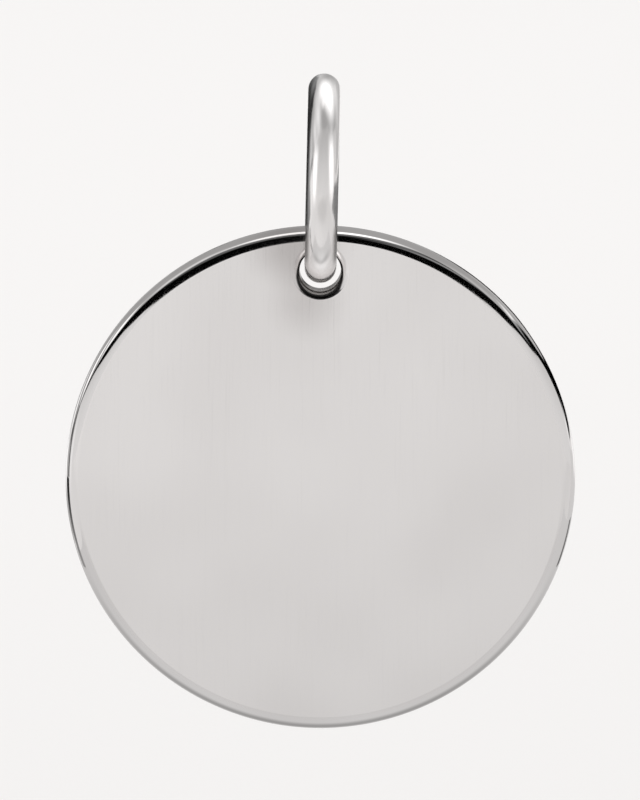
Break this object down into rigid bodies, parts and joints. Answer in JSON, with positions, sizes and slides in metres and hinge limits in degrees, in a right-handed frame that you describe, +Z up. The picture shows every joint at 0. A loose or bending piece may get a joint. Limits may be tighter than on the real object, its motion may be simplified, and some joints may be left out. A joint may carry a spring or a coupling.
{
  "type": "disc pendant",
  "caption": "Plain polished metal disc with a rounded rim, hanging free on a round wire ring that passes through a hole near its top edge.",
  "frame": {"origin": "top of the ring's eye, on the middle plane of the disc, where a chain or hook carries the pendant", "axes": "+Z up along the hanging pendant; the disc's face looks along -Y and its hole runs along Y; +X is to the right of someone who faces the disc"},
  "size_m": [0.02, 0.0082, 0.0259],
  "materials": {
    "ring_silver": "high polish, light handling marks",
    "disc_silver": "mirror polish, faint hairlines"
  },
  "bodies": {
    "ring_body": {"jump_ring": "ring_silver"},
    "disc_body": {"disc": "disc_silver"}
  },
  "joints": [
    {"name": "disc_swing", "type": "hinge", "parent": "ring_body", "child": "disc_body", "pos_m": [-0.00006, 0, -0.00285], "axis": [0.9997, 0, -0.0227], "range_deg": [-120, 120]}
  ]
}
